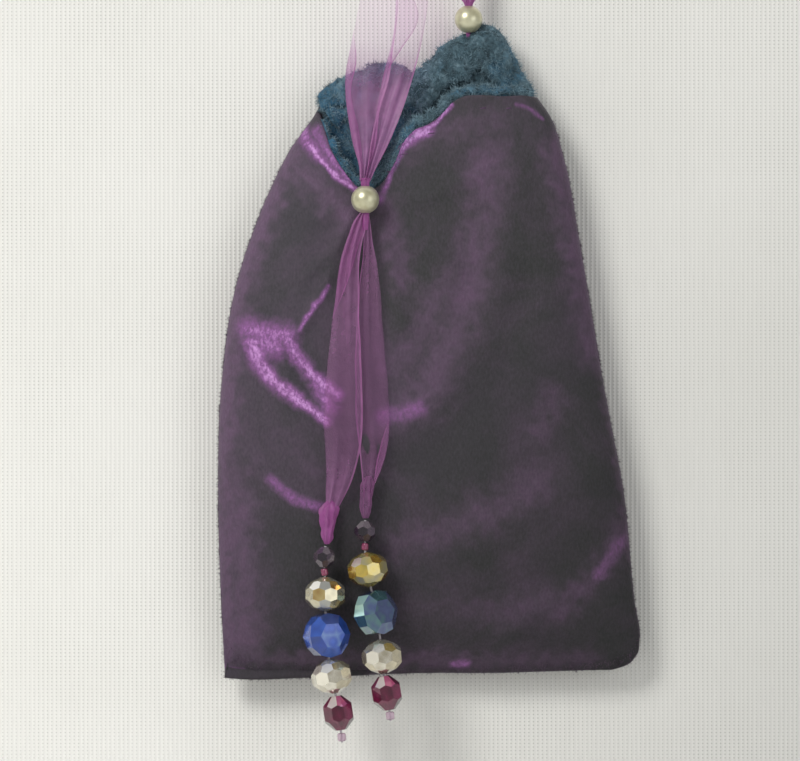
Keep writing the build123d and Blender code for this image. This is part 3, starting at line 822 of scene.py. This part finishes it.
def tube_along(points, radius, squash, sides, wobble=0.0, seed=0.0):
    """Vertices and faces of a soft roll along points (x, y, h), radius per point, in millimetres."""
    points = np.asarray(points, float)
    radius = np.broadcast_to(radius, len(points))
    vertices, faces = [], []
    tangents = np.gradient(points, axis=0)
    for i, (p, t) in enumerate(zip(points, tangents)):
        t = t / np.linalg.norm(t)
        side = np.cross(t, (0, 1, 0))
        side /= np.linalg.norm(side)
        for k in range(sides):
            turn = 2 * math.pi * k / sides
            c, d = math.cos(turn), math.sin(turn)
            spot = Vector((p[0] / LUMP, p[2] / LUMP + seed, c + 2 * d))
            bulge = 1 + wobble * noise.noise(spot)
            offset = side * c * radius[i] + np.array((0, squash * d * radius[i], 0))
            vertices.append(p + offset * bulge)
    for i in range(len(points) - 1):
        for k in range(sides):
            a, b = i * sides + k, i * sides + (k + 1) % sides
            faces.append((a, a + sides, b + sides, b))
    faces.append(tuple(range(sides)))
    last = (len(points) - 1) * sides
    faces.append(tuple(range(last + sides - 1, last - 1, -1)))
    return [(v[0] * MM, v[1] * MM, BOTTOM + v[2] * MM) for v in vertices], faces


def add_to(piece, vertices, faces):
    """Add more vertices and faces, in the row frame, to a piece's mesh."""
    mesh = bmesh.new()
    mesh.from_mesh(piece.data)
    made = [mesh.verts.new(v) for v in vertices]
    for face in faces:
        mesh.faces.new([made[k] for k in face]).smooth = True
    mesh.to_mesh(piece.data)
    mesh.free()


def make_lining(materials):
    columns, rows = ((170, 160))
    x, h, u, v = cloth_grid(lambda a: velvet_lip(a) + 1.1, columns, rows, LINING_INSET, LINING_FOOT)
    y = lining_front_depth(x, h) - 0.7 * np.exp(-((1 - v) / 0.016) ** 2)
    front = cloth_piece("lining_front", x, h, y, LINING_T, 1, materials["plush"])
    edge = np.arange(-21.5, 21.5, 0.35)
    level = velvet_lip(edge) + 1.0 + 0.25 * np.sin(edge * 1.7)
    depth = np.array([np.interp(a, x[-1], y[-1]) for a in edge])
    swell = 1.0 + 0.25 * np.sin(edge * 2.3) + 0.35 * near(edge, level, [(-5.5, 116), (4, 124)], 3.0)
    add_to(front, *tube_along(np.stack([edge, depth + 0.7, level], -1), swell, 1.0, 18, 0.35, 4.0))
    opens_with_mouth(front)
    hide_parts("lining_front_panel", "lining_front_lip")

    x, h, u, v = cloth_grid(lambda a: rear_rim(a) - 3.0, columns, rows, LINING_INSET, LINING_FOOT)
    full = rounding(np.clip(u, 0, 1), BACK_CROWN)
    y = back_depth(x, h, u) - VELVET_T * full - 0.15
    y = y - (0.5 * wrinkles(x, h, 9, 31.0, 1.3) + 0.5) * smoothstep((h - 98) / 12) * full
    back = cloth_piece("lining_back", x, h, y, LINING_T, -1, materials["plush"])
    edge = np.arange(-23.6, 21.6, 0.35)
    level = rear_rim(edge)
    ruffle = np.sin(edge * 0.62 + 0.6) + 0.5 * np.sin(edge * 1.31)
    hem_r = 3.0 + 0.35 * ruffle + 0.5 * near(edge, level, [(4, 134), (14, 136)], 7.0)
    hem_r = hem_r * (0.45 + 0.55 * np.sqrt(np.clip(1 - np.abs((edge + 1) / 22.9) ** 6, 0, 1)))
    hem_y = 1.0 - 0.35 * ruffle
    add_to(back, *tube_along(np.stack([edge, hem_y, level - hem_r], -1), hem_r, 0.62, 30, 0.30, 9.0))
    low_edge = np.arange(-21.4, 20.8, 0.35)
    low_level = rear_rim(low_edge) - 7.2 + 0.5 * np.sin(low_edge * 0.8)
    low_r = 1.8 + 0.4 * np.sin(low_edge * 0.9 + 2) + 0.3 * np.sin(low_edge * 2.1)
    low_line_points = np.stack([low_edge, np.full(len(low_edge), 0.4), low_level], -1)
    add_to(back, *tube_along(low_line_points, low_r, 0.7, 20, 0.32, 15.0))
    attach(back, "root")
    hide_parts("lining_back_panel", "lining_rear_hem")
    return front, back


FIBRE_WIDTH = 0.15


def pile_on(name, piece, keep, count, length, material, seed, lean=(0, -0.35, -0.5)):
    """Fine fibres standing on the part of a piece's surface where keep(x, y, h) is true."""
    rng = np.random.default_rng(seed)
    mesh = piece.data
    mesh.calc_loop_triangles()
    corners = np.array([[mesh.vertices[i].co for i in t.vertices] for t in mesh.loop_triangles])
    middle_mm = corners.mean(axis=1) / MM
    chosen = keep(middle_mm[:, 0], middle_mm[:, 1], middle_mm[:, 2] - BOTTOM / MM)
    corners = corners[chosen]
    normals = np.cross(corners[:, 1] - corners[:, 0], corners[:, 2] - corners[:, 0])
    area = np.linalg.norm(normals, axis=1)
    normals = normals / np.maximum(area[:, None], 1e-15)
    pick = rng.choice(len(corners), count, p=area / area.sum())
    a, b = rng.random(count), rng.random(count)
    over = a + b > 1
    a[over], b[over] = 1 - a[over], 1 - b[over]
    c = corners[pick]
    root = c[:, 0] + a[:, None] * (c[:, 1] - c[:, 0]) + b[:, None] * (c[:, 2] - c[:, 0])
    way = normals[pick] + 0.55 * rng.normal(size=(count, 3)) + 0.5 * np.array(lean)
    way /= np.linalg.norm(way, axis=1, keepdims=True)
    side = np.cross(way, rng.normal(size=(count, 3)))
    side /= np.linalg.norm(side, axis=1, keepdims=True)
    reach = length * MM * (0.5 + rng.random(count))[:, None]
    half = FIBRE_WIDTH / 2 * MM
    tip = root + way * reach
    points = np.stack([root - side * half, root + side * half, tip], axis=1).reshape(-1, 3)
    faces = [(3 * i, 3 * i + 1, 3 * i + 2) for i in range(count)]
    return new_piece(name, points, faces, material, smooth=False)


# ---------------------------------------------------------------- ribbon
RIBBON_WIDTH = 10.0
# The routes' points are those of the plain tubes, with a few more where the ribbon bows out.
NECK_LEFT = [(-14.3, -11.4, 105.0), (-13.9, -9.6, 112), (-14.2, -8.0, 124), (-12.2, -6.0, 134)]
NECK_LEFT += [(-10.4, -4.6, 146), (-8.9, -0.95, 158), (-8.9, -0.95, 163.4), (8.3, -0.95, 163.4)]
NECK_LEFT += [(8.3, -0.95, 152.2), (8.3, -0.6, 143.6)]
NECK_RIGHT = [(-13.3, -11.4, 105.0), (-11.4, -9.4, 111), (-8.3, -7.2, 122), (-4.9, -5.0, 134)]
NECK_RIGHT += [(-3.4, -3.4, 146), (-6.6, 1.0, 158), (-8.3, 1.35, 162.8), (8.3, 1.35, 162.8)]
NECK_RIGHT += [(8.3, 1.35, 152.2), (8.3, 0.9, 143.6)]
TAIL_LEFT = [(-14.4, -11.4, 98.2), (-16.9, -11.7, 91), (-18.0, -12.0, 76), (-18.4, -12.1, 55)]
TAIL_LEFT += [(-18.6, -12.0, 43), (-21.6, -11.5, 33.4)]
TAIL_RIGHT = [(-13.4, -11.3, 98.2), (-12.9, -11.2, 89), (-12.9, -11.2, 74), (-12.4, -11.2, 57)]
TAIL_RIGHT += [(-11.8, -11.3, 46), (-13.7, -11.4, 37.4)]
RIBBON_GRID = (190, 41)
FOLD_SHARE = 0.6  # of half the ribbon's width, kept for the flap folded over its edge


def ribbon_strip(name, route, shape, material, seed):
    """A ribbon along a route. The shape gives, by share of its length, its width in millimetres, its
    twist in degrees, the depth of its pleats and how far one edge is folded back over it."""
    rows, columns = RIBBON_GRID
    line, length = smooth_line([at(x, h, y) for x, y, h in route], rows)
    share = np.linspace(0, 1, rows)
    parts = ("width", "twist", "pleat", "flap", "cover")
    width, angle, depth, flap, cover = [curve_through(shape[part])(share) for part in parts]
    width, depth, angle = width * MM, depth * MM, np.radians(angle)
    tangent = np.gradient(line, axis=0)
    tangent /= np.linalg.norm(tangent, axis=1, keepdims=True)
    level = np.cross(tangent, (0, 1, 0))
    level /= np.linalg.norm(level, axis=1, keepdims=True)
    side = level * np.cos(angle)[:, None] + np.cross(level, tangent) * np.sin(angle)[:, None]
    face = np.cross(side, tangent)
    s = np.linspace(-1, 1, columns)
    vertices, weight, gleam = [], [], []
    for i in range(rows):
        shut = max(0.0, 1 - width[i] / (RIBBON_WIDTH * MM))
        back = max(0.0, flap[i])
        turned = s < FOLD_SHARE - 1
        place = np.where(turned, -1 + 2 * back * (FOLD_SHARE - 1 - s) / FOLD_SHARE,
                         -1 + 2 * (s + 1 - FOLD_SHARE) / (2 - FOLD_SHARE))
        over = np.where(turned, -0.30 * MM * min(1.0, 6 * back), 0.0)
        pleat = np.sin(math.pi * (2.2 * place + 0.5) + seed + 1.5 * math.sin(4 * share[i] + seed))
        small = np.sin(math.pi * 5.1 * place + 2.3 * seed + 9 * share[i]) * 0.28
        offset = depth[i] * (pleat + small * shut) + over
        rough = noise.noise(Vector((share[i] * 9, seed, 0))) * 0.25 * MM
        for k in range(columns):
            spot = line[i] + side[i] * shape["edge"] * (place[k] * width[i] / 2 + rough * abs(place[k]))
            vertices.append(spot + face[i] * offset[k])
            selvedge = smoothstep((abs(s[k]) - 0.92) / 0.05)
            crowd = 0.34 + 1.05 * shut**1.1 + 0.25 * max(0, -pleat[k]) * shut
            weight.append(min(1.5, cover[i] * crowd + selvedge))
            flap_gleam = 0.45 * min(1.0, 4 * back) if turned[k] else 0.0
            gleam.append(min(1.0, 0.8 * selvedge + 0.25 * max(0, pleat[k]) ** 3 * shut + flap_gleam))
    strip = new_piece(name, vertices, grid_faces(rows, columns), material)
    paint(strip, "weight", weight)
    paint(strip, "gleam", gleam)
    return strip, line, length


def ribbon_cord(nodes):
    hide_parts(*nodes)


OVER_LOOP_TWIST = [(0, 0), (0.30, -4), (0.42, 0), (0.52, 60), (0.58, 88), (0.72, 90), (0.80, 60)]
OVER_LOOP_TWIST += [(0.90, 10), (1, 0)]
OVER_LOOP_PLEAT = [(0, 0.30), (0.06, 0.34), (0.16, 0.30), (0.30, 0.40), (0.42, 0.5), (0.6, 0.15)]
OVER_LOOP_PLEAT += [(0.75, 0.15), (0.9, 0.4), (1, 0.35)]
OVER_LOOP_COVER = [(0, 1.35), (0.12, 1.45), (0.235, 1.65), (0.27, 0.95), (1, 0.95)]
NECK_SHAPES = {
    "left": {
        "width": [(0, 1.3), (0.03, 2.0), (0.08, 4.6), (0.16, 6.8), (0.24, 9.2), (0.32, 9.0), (0.42, 8.2),
                  (0.52, 6.0), (0.62, 4.6), (0.80, 4.4), (0.92, 3.8), (1, 2.4)],
        "twist": OVER_LOOP_TWIST, "pleat": OVER_LOOP_PLEAT, "edge": -1, "cover": OVER_LOOP_COVER,
        "flap": [(0, 0.45), (0.12, 0.30), (0.20, 0.14), (0.27, 0.20), (0.34, 0.02), (0.5, 0.0), (1, 0.0)],
    },
    "right": {
        "width": [(0, 1.2), (0.03, 1.8), (0.08, 3.4), (0.16, 5.0), (0.26, 6.2), (0.36, 6.2), (0.46, 7.2),
                  (0.56, 7.6), (0.68, 7.2), (0.80, 4.6), (0.92, 3.8), (1, 2.4)],
        "twist": OVER_LOOP_TWIST, "pleat": OVER_LOOP_PLEAT, "edge": -1, "cover": OVER_LOOP_COVER,
        "flap": [(0, 0.30), (0.15, 0.10), (0.25, 0.05), (0.32, 0.35), (0.40, 0.75), (0.46, 0.5),
                 (0.6, 0.1), (1, 0.0)],
    },
}


def make_neck(materials):
    for side, route, seed in (("left", NECK_LEFT, 0.4), ("right", NECK_RIGHT, 2.1)):
        name, sheer = "neck_strand_" + side, materials["organza"]
        strip, line, length = ribbon_strip(name, route, NECK_SHAPES[side], sheer, seed)
        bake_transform(strip, "root", "front_lip", start=at(-9, 163, -1), end=at(-13.8, 105, -11.4))
        ribbon_cord(["neck_ribbon_" + side])


def gathered(name, levels, material, pleats, seed, crumple=0.0):
    """A bunch of ribbon drawn together: rings of (x, y, height, radius), pleated along its length."""
    sides = 48
    levels = np.asarray(levels, float)
    t = np.linspace(0, len(levels) - 1, 60)
    spots = [curve_through(list(zip(range(len(levels)), levels[:, k])))(t) for k in range(4)]
    vertices = []
    for i, (x, y, h, r) in enumerate(zip(*spots)):
        for k in range(sides):
            turn = 2 * math.pi * k / sides
            fold = 1 + 0.14 * math.sin(pleats * turn + 0.9 * math.sin(0.17 * i) + seed)
            fold += crumple * noise.noise(Vector((2 * math.cos(turn), 2 * math.sin(turn) + seed, h * 0.6)))
            vertices.append(at(x + r * fold * math.cos(turn), h, y + 0.75 * r * fold * math.sin(turn)))
    faces = []
    for i in range(len(t) - 1):
        for k in range(sides):
            a, b = i * sides + k, i * sides + (k + 1) % sides
            faces.append((a, b, b + sides, a + sides))
    faces += [tuple(range(sides - 1, -1, -1)), tuple(range((len(t) - 1) * sides, len(t) * sides))]
    piece = new_piece(name, vertices, faces, material)
    paint(piece, "weight", np.full(len(vertices), 1.0))
    turns = [2 * math.pi * (k % sides) / sides for k in range(len(vertices))]
    paint(piece, "gleam", [0.8 * max(0.0, math.sin(pleats * turn + seed)) ** 4 for turn in turns])
    return piece


REAR_GATHER_TOP = 152.5


def make_gathers(materials):
    x, y, h = middle("rear_pearl") / MM
    h -= BOTTOM / MM
    levels = [(h - 4.0, 0.5), (h, 0.7), (h + 3, 0.8), (h + 5, 1.7), (h + 9, 1.9), (REAR_GATHER_TOP, 1.9)]
    levels = [(x, y, level, radius) for level, radius in levels]
    rear = gathered("rear_gather", levels, materials["gathered_organza"], 5, 0.7, 0.1)
    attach(rear, "root")
    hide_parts("rear_ribbon_gather")
    x, y, h = middle("front_pearl") / MM
    h -= BOTTOM / MM
    levels = [(h - 6.5, 0.55), (h - 3, 0.75), (h + 3, 0.8), (h + 4.6, 1.1)]
    levels = [(x, y, level, radius) for level, radius in levels]
    front = gathered("front_gather", levels, materials["gathered_organza"], 4, 1.9)
    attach(front, "drop")
    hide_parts("front_ribbon_gather")


TAIL_SHAPES = {
    "left": {
        "width": [(0, 1.0), (0.03, 2.6), (0.09, 3.3), (0.20, 4.4), (0.33, 5.5), (0.46, 6.9), (0.60, 8.0),
                  (0.70, 8.2), (0.82, 6.6), (0.90, 4.8), (0.97, 2.8), (1, 2.4)],
        "twist": [(0, 8), (0.4, -4), (1, 6)], "edge": 1, "cover": [(0, 1.0), (1, 1.0)],
        "pleat": [(0, 0.35), (0.1, 0.5), (0.3, 0.35), (0.55, 0.22), (0.8, 0.4), (1, 0.4)],
        "flap": [(0, 0.9), (0.06, 0.88), (0.14, 0.76), (0.22, 0.52), (0.34, 0.04), (0.6, 0.0), (1, 0.0)],
    },
    "right": {
        "width": [(0, 0.8), (0.04, 1.4), (0.10, 1.9), (0.22, 3.9), (0.42, 5.8), (0.62, 7.0), (0.74, 7.0),
                  (0.86, 5.2), (0.93, 3.2), (0.98, 1.8), (1, 1.6)],
        "twist": [(0, -10), (0.4, 4), (1, -6)], "edge": -1, "cover": [(0, 0.7), (1, 0.62)],
        "pleat": [(0, 0.3), (0.1, 0.35), (0.3, 0.25), (0.55, 0.2), (0.8, 0.35), (1, 0.4)],
        "flap": [(0, 0.0), (0.72, 0.0), (0.80, 0.22), (0.88, 0.30), (0.96, 0.1), (1, 0.0)],
    },
}


def make_tails(materials):
    for side, route, seed in (("left", TAIL_LEFT, 1.2), ("right", TAIL_RIGHT, 3.0)):
        body, tied = "tail_" + side, "tail_knot_" + side
        name, sheer = "tail_strand_" + side, materials["organza"]
        strip, line, length = ribbon_strip(name, route, TAIL_SHAPES[side], sheer, seed)
        low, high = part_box(tied)
        x, y, _ = (low + high) / 2 / MM
        foot, head = (low.z - BOTTOM) / MM, (high.z - BOTTOM) / MM
        wide, look = (1.0, "gathered_organza") if side == "left" else (0.7, "dim_organza")
        levels = [(x + 0.6, y, head + 3.4, 0.5), (x + 0.4, y, head + 1.6, 1.9 * wide)]
        levels += [(x + 0.1, y, head - 0.6, 1.7 * wide), (x, y, (head + foot) / 2, 1.2)]
        levels += [(x, y, foot + 1.2, 1.05), (x, y, foot, 0.5)]
        knot = gathered("tail_end_" + side, levels, materials[look], 7, seed, 0.28)
        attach(knot, body)
        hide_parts(tied)
        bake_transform(strip, "drop", body, start=at(-13.8, 98.4, -11.4), end=at(-13.8, 92.0, -11.4))
        x, y, h = route[0]
        ribbon_cord(["tail_ribbon_" + side])


# ---------------------------------------------------------------- beads and thread
BEAD_LOOKS = {
    "smoky_bead": ("smoky", 0.12), "spacer_seed": ("magenta", 0.0), "gold_bead": ("pale_gold", 0.14),
    "blue_bead": ("blue", 0.18), "champagne_bead": ("champagne", 0.14), "garnet_bead": ("garnet", 0.14),
    "stopper_seed": ("pink", 0.0),
}
RIGHT_LOOKS = {"pale_gold": "amber", "blue": "peacock"}  # on the right strand these two are tinted otherwise


FACET_TURN = 12  # degrees between two faces that makes a ground edge


def repaint(node, material, bevel=0.0):
    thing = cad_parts[node]
    for slot in thing.material_slots:
        slot.material = material
    if bevel:
        edge = thing.modifiers.new("ground_edges", "BEVEL")
        edge.width, edge.segments, edge.limit_method = bevel * MM, 2, "ANGLE"
        edge.angle_limit = math.radians(FACET_TURN)


def make_beads(materials):
    for side in ("left", "right"):
        for bead, (look, bevel) in BEAD_LOOKS.items():
            if side == "right":
                look = RIGHT_LOOKS.get(look, look)
            repaint(f"{bead}_{side}", materials[look], bevel)
    for pearl in ("front_pearl", "rear_pearl"):
        repaint(pearl, materials["pearl"])


DANGLE_Y = -11.8
DANGLES = {
    "left": [(-22.3, 27.3), (-22.6, 22.6), (-22.3, 20.9), (-22.3, 13.2), (-21.7, 3.4), (-20.1, -4.2),
             (-18.9, -12.2), (-18.7, -14.5)],
    "right": [(-13.8, 32.8), (-13.8, 28.1), (-13.9, 26.2), (-12.6, 18.4), (-10.5, 7.8), (-9.9, -0.2),
              (-8.6, -7.7), (-8.4, -9.9)],
}
THREAD_D = 0.5


def make_threads(materials):
    for side, points in DANGLES.items():
        curve = bpy.data.curves.new("thread_" + side, "CURVE")
        curve.dimensions = "3D"
        curve.bevel_depth = THREAD_D / 2 * MM
        curve.bevel_resolution = 3
        spline = curve.splines.new("NURBS")
        spline.points.add(len(points) - 1)
        for spot, (x, h) in zip(spline.points, points):
            spot.co = (*at(x, h, DANGLE_Y), 1)
        spline.order_u = 3
        spline.use_endpoint_u = True
        curve.materials.append(materials["clear_thread"])
        thread = bpy.data.objects.new("thread_" + side, curve)
        bpy.context.collection.objects.link(thread)
        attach(thread, "dangle_" + side)
        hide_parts("bead_thread_" + side)
        x, h = points[0]


# ---------------------------------------------------------------- stitches
STITCH_R = 0.13
LIP_STITCHES = [(-17.6, 107.7), (-8.4, 109.7), (-5.4, 113.4), (0.2, 117.8), (5.8, 123.2), (11.2, 123.2)]
LIP_STITCHES += [(16.6, 123.2)]
LIP_STITCH_DROP = 2.6


def stitch_row(name, nodes, spots, body, materials):
    """Small thread loops at spots (x, y, height) and the way that each one lies, (dx, dy, dh)."""
    vertices, faces = [], []
    for (x, y, h), (dx, dy, dh) in spots:
        line = [(x - dx, y - dy, h - dh), (x, y, h), (x + dx, y + dy, h + dh)]
        more, more_faces = tube_along(line, STITCH_R, 1.0, 8)
        faces += [tuple(i + len(vertices) for i in face) for face in more_faces]
        vertices += more
    row = new_piece(name, vertices, faces, materials["thread"])
    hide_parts(*nodes)
    if body:
        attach(row, body)
    return row


def make_stitches(materials):
    sides = [("left_side_seam", left_side, 4, 117, 0.5), ("right_side_seam", right_side, 8, 119, -0.5)]
    for node, edge, low, high, inset in sides:
        spots = [((edge(h) + inset, SEAM_Y + 0.2, h), (0.0, 0.0, 0.8)) for h in np.arange(low, high, 3.0)]
        stitch_row(node + "_thread", [node], spots, "root", materials)
    spots = [((x, SEAM_Y + 0.2, low_line(x) + 0.35), (0.8, 0.0, 0.0)) for x in np.arange(-41, 37, 3.0)]
    stitch_row("bottom_seam_thread", ["bottom_seam"], spots, "root", materials)
    spots = [((x, BACK_FACE + 0.15, rear_rim(x) - 4.4), (0.7, 0.0, 0.1)) for x in np.arange(-17, 18, 3.4)]
    stitch_row("rear_hem_thread", ["rear_hem_stitches"], spots, "root", materials)
    spots = []
    for x, lip in LIP_STITCHES:
        h = lip - LIP_STITCH_DROP
        u = (x - left_side(h)) / (right_side(h) - left_side(h))
        y = front_depth(np.array([[x]]), np.array([[h]]), np.array([[u]]))[0, 0]
        spots.append(((x, y + 0.02, h), (0.7, 0.0, 0.1)))
    lip = stitch_row("front_lip_thread", ["front_lip_stitches"], spots, None, materials)
    opens_with_mouth(lip)
    repaint("front_ribbon_tack", materials["gathered_organza"])


# ---------------------------------------------------------------- the whole scene
make_camera()
make_lights()
make_stage()
looks = make_materials()
make_neck(looks)
make_tails(looks)
make_threads(looks)
make_beads(looks)
make_gathers(looks)
velvet_front = make_velvet(looks)
lining_front, lining_back = make_lining(looks)
make_stitches(looks)

density = 1.0  # share of the fibres that are made
rim_pile = pile_on("rear_rim_pile", lining_back, lambda x, y, h: h > 100,
                   int(42000 * density), 1.0, looks["pile"], 5)
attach(rim_pile, "root")
lip_pile = pile_on("front_lip_pile", lining_front, lambda x, y, h: (h > 96) & (h > velvet_lip(x) - 1.0),
                   int(11000 * density), 0.85, looks["pile"], 6)
opens_with_mouth(lip_pile)

seam_fuzz = pile_on("seam_fuzz", velvet_front, lambda x, y, h: (y > SEAM_Y - 1.6) & (h < 118),
                    int(9000 * density), 0.55, looks["fuzz"], 7, (0, -0.2, -0.2))
opens_with_mouth(seam_fuzz)
